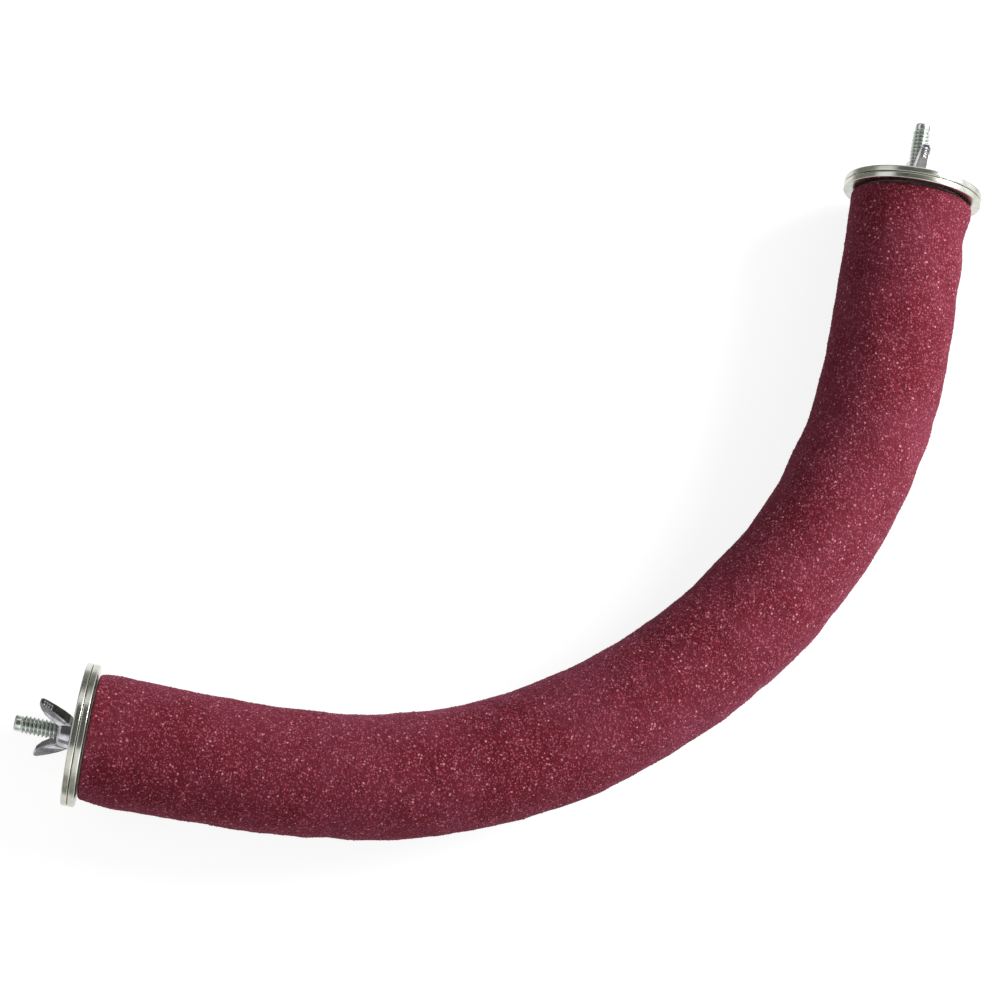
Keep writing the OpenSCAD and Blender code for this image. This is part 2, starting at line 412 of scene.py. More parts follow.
# Loose grains, whose tone is drawn with each grain by the tree that lays them
def grainFinish(name, look):
    material, tree, shader, place = startMaterial(name)
    tone = storedShare(tree, "grainTone")
    veins = noiseAt(tree, place, grainVeins["size"], detail=1, rough=0.5, seed=3.3)
    veins = calc(tree, "MULTIPLY", calc(tree, "SUBTRACT", veins, 0.5), grainVeins["strength"])
    share = calc(tree, "ADD", calc(tree, "POWER", tone, look["fewLight"]), veins)
    feed(tree, shader, {
        "Base Color": blendColours(tree, share, look["dark"], look["light"]),
        "Roughness": spread(tree, tone, 0, 1, *look["rough"]),
        "Specular IOR Level": grainShine,
    })
    return material


# Each plated metal, with its own clouding and wear; the thread and the cast nut also get painted shade in
# their grooves
plate = {
    "bright": srgb(214, 215, 208),
    "dull": srgb(190, 189, 176),
    "cloudSize": 7.0,
    "rough": (0.26, 0.14),
    "scratchSize": 0.25,
    "scratchDepth": 0.006,
}
threadZinc = {
    "bright": srgb(226, 231, 226),
    "dull": srgb(192, 199, 193),
    # painted shade colour for the thread roots
    "paintedShade": srgb(158, 166, 160),
    "cloudSize": 2.5,
    "rough": (0.3, 0.17),
    "scratchSize": 0.2,
    "scratchDepth": 0.004,
}
castMetal = {
    "bright": srgb(214, 212, 219),
    "dull": srgb(160, 159, 166),
    # painted shade colour for the nut's rib grooves and wing edge
    "paintedShade": srgb(72, 72, 78),
    "cloudSize": 2.4,
    "rough": (0.2, 0.08),
    "scratchSize": 0.6,
    "scratchDepth": 0.02,
}
metalWearAndShade = {
    "cloudBand": (0.3, 0.7),
    "scratchRough": 0.12,
    "shadeBand": (0.35, 1.0),
    "shadeRange": (0, 0.85),
}


def metalFinish(name, look):
    material, tree, shader, place = startMaterial(name)
    clouds = noiseAt(tree, place, look["cloudSize"], detail=4, rough=0.6, seed=5.1)
    clouds = spread(tree, clouds, *metalWearAndShade["cloudBand"])
    scratches = noiseAt(tree, place, look["scratchSize"], detail=3, rough=0.7, seed=6.4)
    colour = blendColours(tree, clouds, look["dull"], look["bright"])
    # painted shade: the colour is darkened in the thread roots and between the nut's ribs, where shade falls
    if "paintedShade" in look:
        deep = storedShare(tree, "paintedShadeShare")
        grooveShadeMask = spread(tree, deep, *metalWearAndShade["shadeBand"], *metalWearAndShade["shadeRange"])
        colour = blendColours(tree, grooveShadeMask, colour, look["paintedShade"])
    cloudRough = spread(tree, clouds, 0, 1, *look["rough"])
    feed(tree, shader, {
        "Base Color": colour,
        "Roughness": calc(tree, "MULTIPLY_ADD", scratches, metalWearAndShade["scratchRough"], cloudRough),
        "Normal": bumpFrom(tree, scratches, look["scratchDepth"]),
        "Metallic": 1.0,
    })
    return material


whitePipe = {
    "light": srgb(226, 224, 214),
    "shade": srgb(208, 205, 194),
    "cloudSize": 6.0,
    "rough": (0.4, 0.55),
    "grainSize": 0.4,
    "grainDepth": 0.02,
}
plugWood = {
    "light": srgb(214, 184, 138),
    "dark": srgb(170, 128, 82),
    "stretch": (0.12, 1, 1),
    "ringSize": 1.4,
    "ringBand": (0.35, 0.65),
    "ringDepth": 0.1,
    "rough": (0.6, 0.8),
}


def pipeFinish():
    material, tree, shader, place = startMaterial("whitePipe")
    clouds = noiseAt(tree, place, whitePipe["cloudSize"], detail=3, rough=0.6, seed=7.7)
    grain = noiseAt(tree, place, whitePipe["grainSize"], detail=2, rough=0.5, seed=8.1)
    feed(tree, shader, {
        "Base Color": blendColours(tree, clouds, whitePipe["shade"], whitePipe["light"]),
        "Roughness": spread(tree, clouds, 0, 1, *whitePipe["rough"]),
        "Normal": bumpFrom(tree, grain, whitePipe["grainDepth"]),
    })
    return material


def woodFinish(name, turn):
    material, tree, shader, place = startMaterial(name)
    wires = {"Vector": place, "Rotation": turn, "Scale": plugWood["stretch"]}
    along = addNode(tree, "ShaderNodeMapping", wires).outputs[0]
    rings = noiseAt(tree, along, plugWood["ringSize"], detail=4, rough=0.6, seed=9.2)
    tone = spread(tree, rings, *plugWood["ringBand"])
    feed(tree, shader, {
        "Base Color": blendColours(tree, tone, plugWood["dark"], plugWood["light"]),
        "Roughness": spread(tree, rings, 0, 1, *plugWood["rough"]),
        "Normal": bumpFrom(tree, rings, plugWood["ringDepth"]),
    })
    return material


gritCoat = gritFinish()
paleCrystal = grainFinish("paleCrystal", paleCrystals)
wineGrain = grainFinish("wineGrain", wineGrains)
zincPlate = metalFinish("zincPlate", plate)
zincThread = metalFinish("zincThread", threadZinc)
castZinc = metalFinish("castZinc", castMetal)
print("finishes made")

# The grit coat: a tube that follows the pipe, with its lips rolled in and its skin uneven
coat = {
    "thickness": 1.6,
    "glueGap": 0.05,
    "setback": 0.3,
    "lip": 1.0,
    "lipSteps": 7,
    "lipRough": 0.4,  # how much of the skin's unevenness the lip's outer edge has
    "roughRun": 1.5,  # where the skin has all of it
    "grainsFrom": 0.39,
    "rowStep": 0.62,
    "boreStep": 8.0,
    # lumps where the grit went on thick or thin: distance along the tube, half length, lift
    "innerLumps": [
        (100, 8, -0.65), (117, 12, -0.3), (180, 18, -0.3), (218, 17, -1.1), (248, 8, -0.6), (298, 6, -0.4),
    ],
    "outerLumps": [
        (9, 5, 0.7), (19, 14, 0.75), (43, 6, 0.45), (65, 3.5, -0.55), (86, 5, 0.3), (126, 14, 0.27),
        (157, 10, -0.65), (204, 4, -0.4), (240, 9, 0.3), (296, 9, -0.45), (307, 5, -1.0),
    ],
}
coatTreeSizes = {
    "Sides": 170,
    "Swell": 1.2 * mm,
    "Swell Length": 30 * mm,
    "Dent Depth": 1.4 * mm,
    "Dent Length": 11 * mm,
    "Grain Height": 0.32 * mm,
    "Grain Length": 0.8 * mm,
    "Seed": 4.0,
}


# Rows of (distance along the tube, radius, share of unevenness), for the skin and for the bore
def coatRows():
    outer = (tube["pipeRadius"] + coat["thickness"]) * mm
    bore = (tube["pipeRadius"] + coat["glueGap"]) * mm
    lip = coat["lip"] * mm
    back = coat["setback"] * mm
    lipRough = coat["lipRough"]
    lipRows = [(back, bore, 0.0)]
    for step in range(coat["lipSteps"] + 1):
        angle = math.pi / 2 * (1 - step / coat["lipSteps"])
        radius = outer - lip + lip * math.cos(angle)
        lipRows.append((back + lip * (1 - math.sin(angle)), radius, lipRough * math.cos(angle)))
    hair = 0.001 * mm  # keeps the first two rows apart
    lipRows[1] = (lipRows[1][0] + hair, *lipRows[1][1:])
    plainLength = tubeLength - 2 * (back + lip)
    count = round(plainLength / (coat["rowStep"] * mm))
    plainRows = []
    for step in range(1, count):
        share = step / count
        fromLip = min(share, 1 - share) * plainLength
        uneven = lipRough + fromLip / (coat["roughRun"] * mm) * (1 - lipRough)
        plainRows.append((back + lip + plainLength * share, outer, min(1.0, uneven)))
    farLip = [(tubeLength - distance, radius, uneven) for distance, radius, uneven in reversed(lipRows)]
    boreLength = tubeLength - 2 * back
    boreCount = round(boreLength / (coat["boreStep"] * mm))
    boreRows = [(back + boreLength * step / boreCount, bore, 0.0) for step in range(boreCount + 1)]
    return lipRows + plainRows + farLip, boreRows


def lumpLift(distance, lumps):
    spot = distance / mm
    return sum(lift * math.exp(-(((spot - middle) / half) ** 2)) for middle, half, lift in lumps) * mm


# From the middle of the tube towards the inside of the bend
def inwardAt(distance):
    turned = min(max((distance - leftRun) / bendR, 0), math.pi / 2)
    return Vector((-math.sin(turned), math.cos(turned), 0))


def pathMesh(strands):
    rows = [row for strand in strands for row in strand]
    edges = []
    start = 0
    for strand in strands:
        edges += [(start + step, start + step + 1) for step in range(len(strand) - 1)]
        start += len(strand)
    mesh = meshFrom("coatPath", [tubePoint(row[0]) for row in rows], [], edges)
    values = {
        "skinRadius": [row[1] for row in rows],
        "roughShare": [row[2] for row in rows],
        "innerLift": [lumpLift(row[0], coat["innerLumps"]) for row in rows],
        "outerLift": [lumpLift(row[0], coat["outerLumps"]) for row in rows],
    }
    for label, column in values.items():
        mesh.attributes.new(label, "FLOAT", "POINT").data.foreach_set("value", column)
    inward = mesh.attributes.new("inward", "FLOAT_VECTOR", "POINT")
    inward.data.foreach_set("vector", [part for row in rows for part in inwardAt(row[0])])
    return mesh


def coatTree():
    tree, inputs = startTree("gritCoatTree", coatTreeSizes)
    path = addNode(tree, "GeometryNodeMeshToCurve", {0: inputs["Geometry"]}).outputs[0]
    path = addNode(tree, "GeometryNodeSetCurveNormal", {0: path}, mode="Z_UP").outputs[0]
    wires = {"Resolution": inputs["Sides"], "Radius": 1.0}
    ring = addNode(tree, "GeometryNodeCurvePrimitiveCircle", wires).outputs[0]
    wires = {"Curve": path, "Profile Curve": ring, "Scale": namedValue(tree, "skinRadius")}
    skin = addNode(tree, "GeometryNodeCurveToMesh", wires).outputs[0]
    place = addNode(tree, "GeometryNodeInputPosition").outputs[0]
    total = 0.0
    for height, length, detail in (
        ("Swell", "Swell Length", 1.0),
        ("Dent Depth", "Dent Length", 2.0),
        ("Grain Height", "Grain Length", 1.0),
    ):
        wires = {
            "Vector": place,
            "W": inputs["Seed"],
            "Scale": calc(tree, "DIVIDE", 1.0, inputs[length]),
            "Detail": detail,
        }
        field = addNode(tree, "ShaderNodeTexNoise", wires, noise_dimensions="4D").outputs[0]
        lift = calc(tree, "MULTIPLY", calc(tree, "SUBTRACT", field, 0.5), inputs[height])
        total = calc(tree, "ADD", total, lift)
    outward = addNode(tree, "GeometryNodeInputNormal").outputs[0]
    wires = {0: outward, 1: namedValue(tree, "inward", "FLOAT_VECTOR")}
    facing = addNode(tree, "ShaderNodeVectorMath", wires, operation="DOT_PRODUCT").outputs["Value"]
    for label, sign in (("innerLift", 1.0), ("outerLift", -1.0)):
        share = calc(tree, "MAXIMUM", calc(tree, "MULTIPLY", facing, sign), 0.0)
        total = calc(tree, "MULTIPLY_ADD", share, namedValue(tree, label), total)
    total = calc(tree, "MULTIPLY", total, namedValue(tree, "roughShare"))
    wires = {"Geometry": skin, "Offset": scaleVector(tree, outward, total)}
    endTree(tree, inputs, addNode(tree, "GeometryNodeSetPosition", wires).outputs[0])
    return tree


coatMesh = cleanMesh(runTree(coatTree(), pathMesh(coatRows()), gritCoat))
addPiece("grit_skin", coatMesh, "perch", replaced=["grit_coating"])

# Loose grains on the coat: pale crystals and wine-red sand
grainLayers = {
    "pale_crystals": {
        "Grains per m2": 420000.0,
        "Smallest": 0.11 * mm,
        "Largest": 0.25 * mm,
        "Sink": 0.1,
        "Seed": 11,
    },
    "wine_grains": {
        "Grains per m2": 560000.0,
        "Smallest": 0.16 * mm,
        "Largest": 0.32 * mm,
        "Sink": 0.3,
        "Seed": 23,
    },
}
grainShape = {"Segments": 4, "Rings": 2, "Radius": 1.0}
grainTurn = (0, 6.283)
grainStretch = (0.65, 1.25)


def grainTree():
    tree, inputs = startTree("grainTree", grainLayers["wine_grains"])
    seed = inputs["Seed"]
    wires = {
        "Mesh": inputs["Geometry"],
        "Selection": calc(tree, "GREATER_THAN", namedValue(tree, "roughShare"), coat["grainsFrom"]),
        "Density": inputs["Grains per m2"],
        "Seed": seed,
    }
    strewn = addNode(tree, "GeometryNodeDistributePointsOnFaces", wires, distribute_method="RANDOM").outputs
    size = calc(tree, "POWER", randomShare(tree, calc(tree, "ADD", seed, 1.0)), 2.0)
    size = spread(tree, size, 0.0, 1.0, inputs["Smallest"], inputs["Largest"], soft=False)
    sink = calc(tree, "MULTIPLY", calc(tree, "MULTIPLY", size, inputs["Sink"]), -1.0)
    wires = {"Geometry": strewn["Points"], "Offset": scaleVector(tree, strewn["Normal"], sink)}
    points = addNode(tree, "GeometryNodeSetPosition", wires).outputs[0]
    grain = addNode(tree, "GeometryNodeMeshUVSphere", grainShape).outputs[0]
    turn = randomVector(tree, *grainTurn, seed)
    stretch = randomVector(tree, *grainStretch, seed)
    wires = {
        "Points": points,
        "Instance": grain,
        "Rotation": addNode(tree, "FunctionNodeEulerToRotation", {0: turn}).outputs[0],
        "Scale": scaleVector(tree, stretch, size),
    }
    laid = addNode(tree, "GeometryNodeInstanceOnPoints", wires).outputs[0]
    tone = randomShare(tree, calc(tree, "ADD", seed, 2.0))
    endTree(tree, inputs, storeValue(tree, laid, "grainTone", tone, "INSTANCE"))
    return tree


grainLayer = grainTree()
for label, finish in (("pale_crystals", paleCrystal), ("wine_grains", wineGrain)):
    addPiece(label, runTree(grainLayer, coatMesh, finish, grainLayers[label]), "perch")

# The studs: a turned blank, into which a tree cuts the machine thread and the wood screw.
# Heights are from the end of the pipe, outwards
stud = {
    "threadRadius": 2.4,
    "coreRadius": 1.83,
    "end": {"left": 19.4, "right": 21.9},
    "tipRadius": 2.1,
    "tipLength": 1.0,
    "tipRound": 0.6,
    "tipSteps": 8,
    "tipFlat": 0.8,
    "neck": 0.32,
    "neckCut": 0.12,
    "neckRise": 0.05,
    "leadIn": 0.45,
    "threadStart": 0.1,
    "threadRise": 0.3,
    "threadPast": 0.1,
    "screwPoint": -22.0,
    "pointRadius": 0.05,
    "pointLength": 4.0,
    "screwHeight": 0.5,
    "screwRise": 0.6,
    "screwTop": -3.4,
    "shankStart": -2.6,
    "screwCut": (-20.8, -2.4),
    "screwPhase": -18.0,
    "rowStep": 0.075,
    "sides": 64,
    "sharpAngle": 50,
}
machineThread = {
    "Pitch": 1.0583 * mm,
    "Depth": 0.52 * mm,
    "Crest Share": 0.22,
    "Root Share": 0.14,
    "Fade": 0.4 * mm,
}
woodScrew = {
    "Pitch": 2.1 * mm,
    "Depth": 0.5 * mm,
    "Crest Share": 0.1,
    "Root Share": 0.5,
    "Fade": 1.2 * mm,
}


def threadTree():
    sizes = dict(machineThread, Start=0.0, End=0.01, Phase=0.0)
    tree, inputs = startTree("threadTree", sizes)
    place = addNode(tree, "GeometryNodeInputPosition").outputs[0]
    x, y, z = addNode(tree, "ShaderNodeSeparateXYZ", {0: place}).outputs
    turns = calc(tree, "DIVIDE", calc(tree, "ARCTAN2", y, x), 2 * math.pi)
    rise = calc(tree, "DIVIDE", calc(tree, "SUBTRACT", z, inputs["Phase"]), inputs["Pitch"])
    share = calc(tree, "FRACT", calc(tree, "ADD", calc(tree, "SUBTRACT", rise, turns), 0.5))
    away = calc(tree, "ABSOLUTE", calc(tree, "SUBTRACT", share, 0.5))
    crestEdge = calc(tree, "MULTIPLY", inputs["Crest Share"], 0.5)
    rootEdge = calc(tree, "SUBTRACT", 0.5, calc(tree, "MULTIPLY", inputs["Root Share"], 0.5))
    cut = spread(tree, away, crestEdge, rootEdge, soft=False)
    startEdge = calc(tree, "ADD", inputs["Start"], inputs["Fade"])
    endEdge = calc(tree, "SUBTRACT", inputs["End"], inputs["Fade"])
    cut = calc(tree, "MULTIPLY", cut, spread(tree, z, inputs["Start"], startEdge))
    cut = calc(tree, "MULTIPLY", cut, spread(tree, z, inputs["End"], endEdge))
    depth = calc(tree, "MULTIPLY", cut, inputs["Depth"])
    radius = calc(tree, "SQRT", calc(tree, "MULTIPLY_ADD", x, x, calc(tree, "MULTIPLY", y, y)))
    radius = calc(tree, "MAXIMUM", radius, 0.01 * mm)  # the axis isn't divided by zero
    kept = calc(tree, "SUBTRACT", 1.0, calc(tree, "DIVIDE", depth, radius))
    wires = {0: calc(tree, "MULTIPLY", x, kept), 1: calc(tree, "MULTIPLY", y, kept), 2: z}
    moved = addNode(tree, "ShaderNodeCombineXYZ", wires).outputs[0]
    wires = {"Geometry": inputs["Geometry"], "Position": moved}
    shaped = addNode(tree, "GeometryNodeSetPosition", wires).outputs[0]
    # the cut share also drives the painted shade in the thread roots
    endTree(tree, inputs, storeValue(tree, shaped, "paintedShadeShare", cut, "POINT"))
    return tree


def studBlank(side):
    endZ = stud["end"][side]
    tipZ = endZ - stud["tipRound"] - stud["tipLength"]
    threadEnd = tipZ - stud["neck"]
    screwRadius = stud["coreRadius"] + stud["screwHeight"]
    pointTop = stud["screwPoint"] + stud["pointLength"]
    corners = [
        (stud["pointRadius"], stud["screwPoint"]),
        (stud["coreRadius"], pointTop),
        (screwRadius, pointTop + stud["screwRise"]),
        (screwRadius, stud["screwTop"]),
        (stud["coreRadius"], stud["shankStart"]),
        (stud["coreRadius"], 0.0),
        (stud["threadRadius"], stud["threadStart"] + stud["threadRise"]),
        (stud["threadRadius"], threadEnd - stud["leadIn"]),
        (stud["tipRadius"] - stud["neckCut"], threadEnd + stud["neckRise"]),
        (stud["tipRadius"], tipZ),
    ]
    outline = [(0, corners[0][1])]
    for (r0, z0), (r1, z1) in zip(corners, corners[1:]):
        rows = (z1 - z0) / stud["rowStep"]
        count = max(1, round(rows if z1 > 0 else rows / 2))
        outline += [(r0 + (r1 - r0) * k / count, z0 + (z1 - z0) * k / count) for k in range(count)]
    outline.append(corners[-1])
    for step in range(stud["tipSteps"] + 1):
        angle = math.pi / 2 * step / stud["tipSteps"]
        radius = stud["tipRadius"] - stud["tipRound"] * (1 - math.cos(angle))
        outline.append((radius, endZ - stud["tipRound"] * (1 - math.sin(angle))))
    outline += [(stud["tipFlat"], endZ), (0, endZ)]
    mesh = turnedMesh("studBlank", [(r * mm, z * mm) for r, z in outline], stud["sides"])
    return mesh, threadEnd


cutThread = threadTree()


def threadCut(kind, start, end, phase):
    return dict(kind, Start=start * mm, End=end * mm, Phase=phase * mm)


def makeStud(side):
    mesh, threadEnd = studBlank(side)
    start = stud["threadStart"]
    for cut in (
        threadCut(woodScrew, *stud["screwCut"], stud["screwPhase"]),
        threadCut(machineThread, start, threadEnd + stud["threadPast"], start),
    ):
        mesh = runTree(cutThread, mesh, zincThread, cut)
    name = f"{side}_threaded_stud"
    addPiece(name, toEnd(mesh, side), "perch", None, [f"{side}_stud"], stud["sharpAngle"])


for side in ("left", "right"):
    makeStud(side)

# Washers: punched plate, rolled on the face that went to the die
washer = {
    "radius": 19.0,
    "hole": 2.5,
    "thickness": 1.7,
    "rollOut": 0.44,
    "rollIn": 0.3,
    "holeRoll": 0.2,
    "rollSteps": 6,
    "rim": [(0.0, 0.62), (-0.02, 0.95)],  # the punched edge leans in a little
    "faceRings": [16.0, 12.0, 8.0, 5.0],
    "sides": 192,
    "sharpAngle": 28,
    "wave": 0.015,
    "waveLength": 9.0,
    "waveSeed": {"inner": 3.1, "outer": 7.7},
    "place": {"inner": 0.1, "outer": 1.9},
}


def washerOutline():
    outline = []
    for radius, height, roll, start in (
        (washer["radius"], 0.0, washer["rollIn"], -90),
        (washer["radius"], washer["thickness"], washer["rollOut"], 0),
        (washer["hole"], washer["thickness"], washer["holeRoll"], 90),
        (washer["hole"], 0.0, washer["holeRoll"], 180),
    ):
        middleR = radius - roll if radius == washer["radius"] else radius + roll
        middleZ = height + roll if height == 0 else height - roll
        for step in range(washer["rollSteps"] + 1):
            angle = math.radians(start + 90 * step / washer["rollSteps"])
            outline.append((middleR + roll * math.cos(angle), middleZ + roll * math.sin(angle)))
        if start == -90:
            outline += [(washer["radius"] + lean, z) for lean, z in washer["rim"]]
        elif start == 0:
            outline += [(ring, washer["thickness"]) for ring in washer["faceRings"]]
        elif start == 180:
            outline += [(ring, 0.0) for ring in reversed(washer["faceRings"])]
    return [(r * mm, z * mm) for r, z in outline]


def makeWasher(side, which, body, seed):
    mesh = turnedMesh("washer", washerOutline(), washer["sides"], closed=True)
    for point in mesh.vertices:
        place = point.co / (washer["waveLength"] * mm) + Vector((seed, seed, seed))
        point.co.z += noise.noise(Vector((place.x, place.y, seed))) * washer["wave"] * mm
    toEnd(mesh, side, washer["place"][which] * mm)
    name = f"{side}_{which}_plate"
    addPiece(name, mesh, body, zincPlate, [f"{side}_{which}_washer"], washer["sharpAngle"])


for count, side in enumerate(("left", "right")):
    for which, body in (("inner", "seat"), ("outer", "clamp")):
        makeWasher(side, which, f"{side}_{body}_washer", washer["waveSeed"][which] + count)

# Wing nuts: a turned hub and two cast wings, grown into one skin, with grip ribs on the wings.
# Outlines are (radius, height), and a wing's points also have half its thickness there
nut = {
    "base": 3.7,
    "turn": {"left": 131, "right": 93},
    "sides": 96,
    "hub": [
        (0, 0), (3.75, 0), (3.9, 0.15), (3.9, 0.6), (4.2, 0.7),
        (4.1, 1.8), (3.83, 3.3), (3.65, 3.75), (3.25, 4.1), (0, 4.1),
    ],
    "bore": [(0, -0.5), (3.2, -0.5), (2.5, 0.25), (2.5, 3.9), (2.72, 4.1), (2.72, 12.0), (0, 12.0)],
    "wing": [
        (2.9, 0.75, 1.6), (4.3, 0.8, 1.75), (5.9, 2.9, 1.7), (7.5, 5.4, 1.5), (8.8, 7.7, 1.32),
        (9.45, 9.05, 1.22), (9.4, 9.7, 1.15), (8.8, 9.85, 1.1), (7.4, 9.35, 1.15), (5.8, 8.1, 1.35),
        (4.5, 6.3, 1.6), (3.6, 4.9, 1.75), (2.9, 4.1, 1.8),
    ],
    "wingMiddle": (6.2, 5.3),
    # the wing through its thickness: full in the middle and rolled over at both faces
    "wingLayers": [(-1.0, 0.92), (-0.9, 0.975), (-0.72, 1.0), (0.72, 1.0), (0.9, 0.975), (1.0, 0.92)],
    "voxel": 0.12,
    "smoothing": 0.5,
    "smoothRounds": 1,
    "sharpAngle": 40,
}
ribTreeSizes = {"Count": 4, "Gap": 0.78, "Length": 1.7, "Radius": 0.28}
ribBar = {"Segments": 16, "Rings": 10, "Radius": 1.0}
ribRow = {
    "from": (8.18, 6.5),
    "to": (9.35, 8.75),
    "aside": 0.6,
    "reach": 0.5,
    "edge": [(5.0, 1.7), (5.9, 2.9), (7.5, 5.4), (8.8, 7.7), (9.45, 9.05)],
    "edgeDepth": 0.25,
    # painted shade on the wing's outer edge and between the ribs, more on the left nut than on the right
    "edgeShade": {"left": 1.0, "right": 0.0},
    "grooveShade": {"left": 1.0, "right": 0.5},
}


def ribTree():
    tree, inputs = startTree("ribTree", ribTreeSizes)
    along = addNode(tree, "ShaderNodeCombineXYZ", {0: inputs["Gap"]}).outputs[0]
    wires = {"Count": inputs["Count"], "Offset": along}
    line = addNode(tree, "GeometryNodeMeshLine", wires, mode="OFFSET").outputs[0]
    bar = addNode(tree, "GeometryNodeMeshUVSphere", ribBar).outputs[0]
    halfLength = calc(tree, "MULTIPLY", inputs["Length"], 0.5)
    wires = {0: inputs["Radius"], 1: halfLength, 2: inputs["Radius"]}
    stretch = addNode(tree, "ShaderNodeCombineXYZ", wires).outputs[0]
    wires = {"Points": line, "Instance": bar, "Scale": stretch}
    endTree(tree, inputs, addNode(tree, "GeometryNodeInstanceOnPoints", wires).outputs[0])
    return tree


def wingMesh():
    middle = Vector(nut["wingMiddle"])
    points, faces = [], []
    for depth, share in nut["wingLayers"]:
        for x, z, half in nut["wing"]:
            spot = middle + (Vector((x, z)) - middle) * share
            points.append((spot.x, depth * half, spot.y))
    count = len(nut["wing"])
    lastLayer = len(points) - count
    for layer in range(0, lastLayer, count):
        for step in range(count):
            a, b = layer + step, layer + (step + 1) % count
            faces.append((a, b, b + count, a + count))
    faces.append(tuple(reversed(range(count))))
    faces.append(tuple(range(lastLayer, len(points))))
    return cleanMesh(meshFrom("wing", points, faces), gap=0.0001)


def bake(mesh, changes):
    holder = addObject("holder", mesh)
    for kind, settings in changes:
        modifier = holder.modifiers.new(kind, kind)
        for key, value in settings.items():
            setattr(modifier, key, value)
    made = evaluatedMesh(holder)
    bpy.data.objects.remove(holder)
    return made


def joined(meshes):
    work = bmesh.new()
    for mesh in meshes:
        work.from_mesh(mesh)
    made = bpy.data.meshes.new("joined")
    work.to_mesh(made)
    work.free()
    return made


def nutBlank():
    ribs = runTree(ribTree(), bpy.data.meshes.new("empty"), castZinc, ribTreeSizes)
    start, end = Vector(ribRow["from"]), Vector(ribRow["to"])
    slope = math.atan2(end.y - start.y, end.x - start.x)
    ribs.transform(Matrix.Translation((start.x, -ribRow["aside"], start.y)) @ Matrix.Rotation(-slope, 4, "Y"))
    parts = [turnedMesh("hub", nut["hub"], nut["sides"])]
    for part in (wingMesh(), ribs):
        twin = part.copy()
        twin.transform(Matrix.Rotation(math.pi, 4, "Z"))
        parts += [part, twin]
    return joined(parts)


def edgeGap(spot):
    edge = [Vector(corner) for corner in ribRow["edge"]]
    gaps = []
    for low, high in zip(edge, edge[1:]):
        span = high - low
        share = min(max((spot - low).dot(span) / span.length_squared, 0), 1)
        gaps.append((spot - low - span * share).length)
    return min(gaps)


# Painted shade sits between the ribs, from 0 on a rib to 1 halfway to the next, and on the rest of the wing's
# outer edge. Each side's nut has its own share of both
def markPaintedShade(mesh, side):
    start = Vector(ribRow["from"])
    along = (Vector(ribRow["to"]) - start).normalized()
    gap = ribTreeSizes["Gap"]
    rowEnd = gap * (ribTreeSizes["Count"] - 0.5)
    layer = mesh.attributes.new("paintedShadeShare", "FLOAT", "POINT")
    for index, point in enumerate(mesh.vertices):
        offset = Vector((abs(point.co.x), point.co.z)) - start  # both wings are alike
        run = offset.dot(along)
        onRow = -0.5 * gap < run < rowEnd and abs(offset.cross(along)) < ribRow["reach"]
        aside = -math.copysign(point.co.y, point.co.x * point.co.y) - ribRow["aside"]
        if onRow and abs(aside) < ribTreeSizes["Length"] / 2:
            depth = 0.5 - 0.5 * math.cos(2 * math.pi * run / gap)
            layer.data[index].value = depth * ribRow["grooveShade"][side]
        elif edgeGap(start + offset) < ribRow["edgeDepth"]:
            layer.data[index].value = ribRow["edgeShade"][side]


def makeNuts():
    cutter = addObject("boreCutter", turnedMesh("bore", nut["bore"], nut["sides"]))
    skin = bake(nutBlank(), [
        ("REMESH", {"mode": "VOXEL", "voxel_size": nut["voxel"]}),
        ("SMOOTH", {"factor": nut["smoothing"], "iterations": nut["smoothRounds"]}),
        ("BOOLEAN", {"operation": "DIFFERENCE", "solver": "EXACT", "object": cutter}),
    ])
    bpy.data.objects.remove(cutter)
    for side in ("left", "right"):
        mesh = skin.copy()
        markPaintedShade(mesh, side)
        turn = Matrix.Rotation(math.radians(nut["turn"][side]), 4, "Z")
        mesh.transform(Matrix.Scale(mm, 4) @ turn)
        toEnd(mesh, side, nut["base"] * mm)
        name, body, node = f"{side}_cast_wing_nut", f"{side}_nut", f"{side}_wing_nut"
        addPiece(name, mesh, body, castZinc, [node], nut["sharpAngle"])


makeNuts()

# The nodes that keep their own shape
nodeFinishes = {
    "core_pipe": pipeFinish(),
    "left_end_plug": woodFinish("plugWoodLeft", (0, 0, 0)),
    "right_end_plug": woodFinish("plugWoodRight", (0, 0, math.pi / 2)),
}
for label, finish in nodeFinishes.items():
    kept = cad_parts[label].data
    kept.materials.clear()
    kept.materials.append(finish)
print("nodes finished")

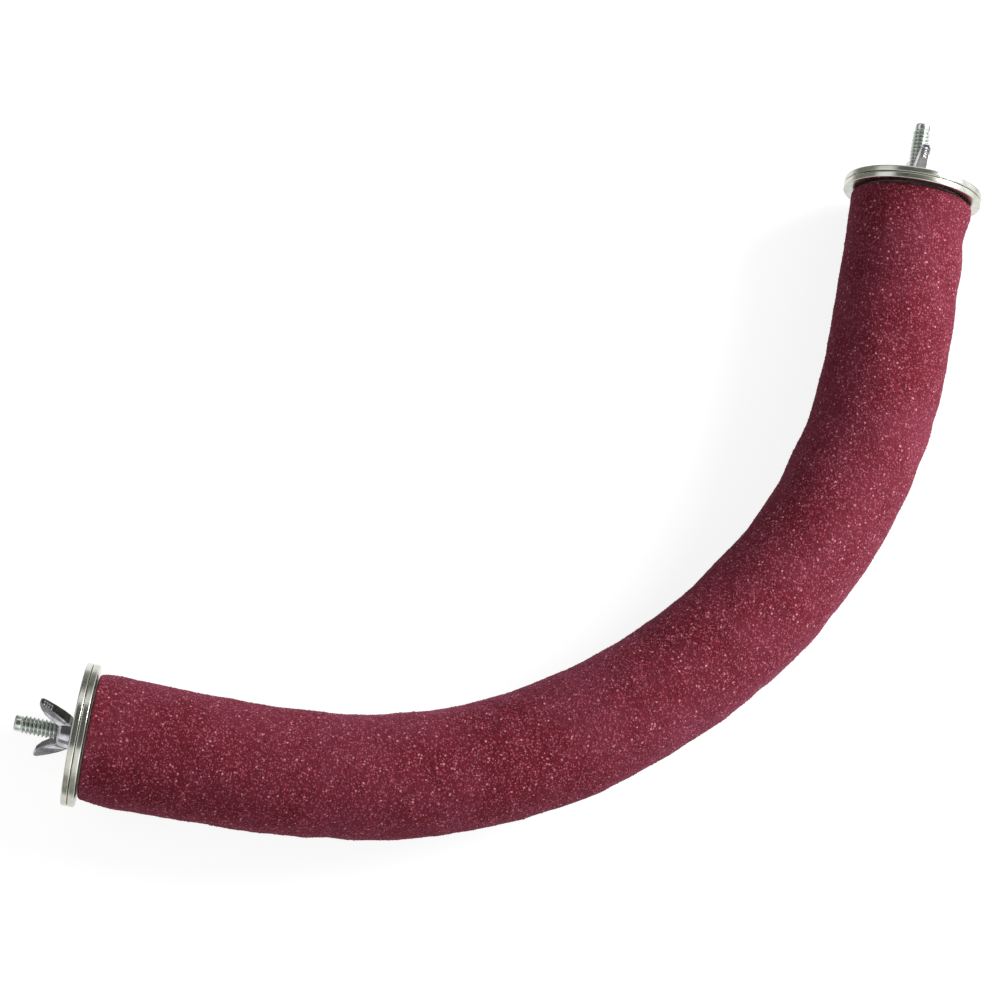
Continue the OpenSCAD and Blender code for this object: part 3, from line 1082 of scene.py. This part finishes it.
# Floor, backdrop and light, in metres. Only reflections see the cards, which give the bright metal
# something darker to mirror. Each is flat, between two opposite corners
studio = {
    "floorSize": 4.0,
    "floorHeight": -0.02 * mm,
    "floorColour": (0.32, 0.32, 0.32, 1.0),
    "floorRough": 0.9,
    "floorLift": 0.84,
    "worldLight": 0.38,
    "key": {"place": (0.92, 0.56, 0.6), "size": 0.7, "power": 17.5},
    "fill": {"place": (0.7, -1.0, 0.6), "size": 1.2, "power": 4.5},
    "darkCard": (0.22, 0.23, 0.2, 1.0),
    "paleCard": (0.62, 0.62, 0.62, 1.0),
    "cards": {
        "topCard": ((-1.3, -0.9, 1.5), (1.3, 1.3, 1.5), "darkCard"),
        "leftCard": ((-0.6, -0.5, 0.0), (-0.6, 0.5, 0.2), "darkCard"),
        "frontCard": ((-0.9, -1.2, 0.0), (0.2, -1.2, 0.3), "darkCard"),
        "backCard": ((-0.6, 0.42, 0.0), (0.04, 0.42, 0.24), "darkCard"),
        "nearCard": ((-0.3, -0.275, 0.001), (0.0, -0.16, 0.001), "darkCard"),
        "farCard": ((-0.3, -0.6, 0.001), (0.0, -0.275, 0.001), "paleCard"),
        "wingCard": ((-0.175, -0.1, 0.001), (-0.117, -0.04, 0.001), "darkCard"),
        "bendCard": ((-0.45, -0.02, 0.001), (0.05, 0.3, 0.001), "darkCard"),
        "rightCard": ((0.6, 0.2, 0.08), (0.6, 0.5, 0.45), "paleCard"),
        "studCard": ((0.115, 0.11, 0.001), (0.16, 0.15, 0.001), "darkCard"),
    },
}


def seenRay(tree):
    rays = addNode(tree, "ShaderNodeLightPath").outputs
    seen = calc(tree, "MAXIMUM", rays["Is Camera Ray"], rays["Is Glossy Ray"])
    return calc(tree, "MAXIMUM", seen, rays["Is Transmission Ray"])


def stageSheet(name, corners, colour, rough):
    sheet = addObject(name, meshFrom(name, corners, [(0, 1, 2, 3)]))
    material, tree, shader = startMaterial(f"{name}Paper")[:3]
    feed(tree, shader, {"Base Color": colour, "Roughness": rough, "Specular IOR Level": 0.0})
    sheet.data.materials.append(material)
    return sheet, tree, shader


def makeFloor():
    half = studio["floorSize"] / 2
    corners = [(x * half, y * half, studio["floorHeight"]) for x, y in ((-1, -1), (1, -1), (1, 1), (-1, 1))]
    tree, shader = stageSheet("floor", corners, studio["floorColour"], studio["floorRough"])[1:]
    lift = calc(tree, "MULTIPLY", seenRay(tree), studio["floorLift"])
    feed(tree, shader, {"Emission Color": (1, 1, 1, 1), "Emission Strength": lift})


def makeWorld():
    world = bpy.data.worlds.new("studio")
    bpy.context.scene.world = world
    world.use_nodes = True
    tree = world.node_tree
    strength = spread(tree, seenRay(tree), 0, 1, studio["worldLight"], 1.0, soft=False)
    feed(tree, tree.nodes["Background"], {"Color": (1, 1, 1, 1), "Strength": strength})


def makeCard(name, low, high, tone):
    if low[2] == high[2]:  # it lies flat
        corners = [low, (high[0], *low[1:]), high, (low[0], *high[1:])]
    else:
        corners = [low, (*high[:2], low[2]), high, (*low[:2], high[2])]
    card = stageSheet(name, corners, studio[tone], 1.0)[0]
    card.visible_camera = False
    card.visible_diffuse = False
    card.visible_shadow = False


def makeLamp(name):
    values = studio[name]
    data = bpy.data.lights.new(name, "AREA")
    data.shape = "DISK"
    data.size = values["size"]
    data.energy = values["power"]
    lamp = addObject(name, data)
    lamp.location = values["place"]
    lamp.rotation_euler = (-Vector(values["place"])).to_track_quat("-Z", "Y").to_euler()


makeFloor()
makeWorld()
for name, (low, high, tone) in studio["cards"].items():
    makeCard(name, low, high, tone)
makeLamp("key")
makeLamp("fill")
bpy.context.scene.view_settings.view_transform = "Standard"
print("studio ready")
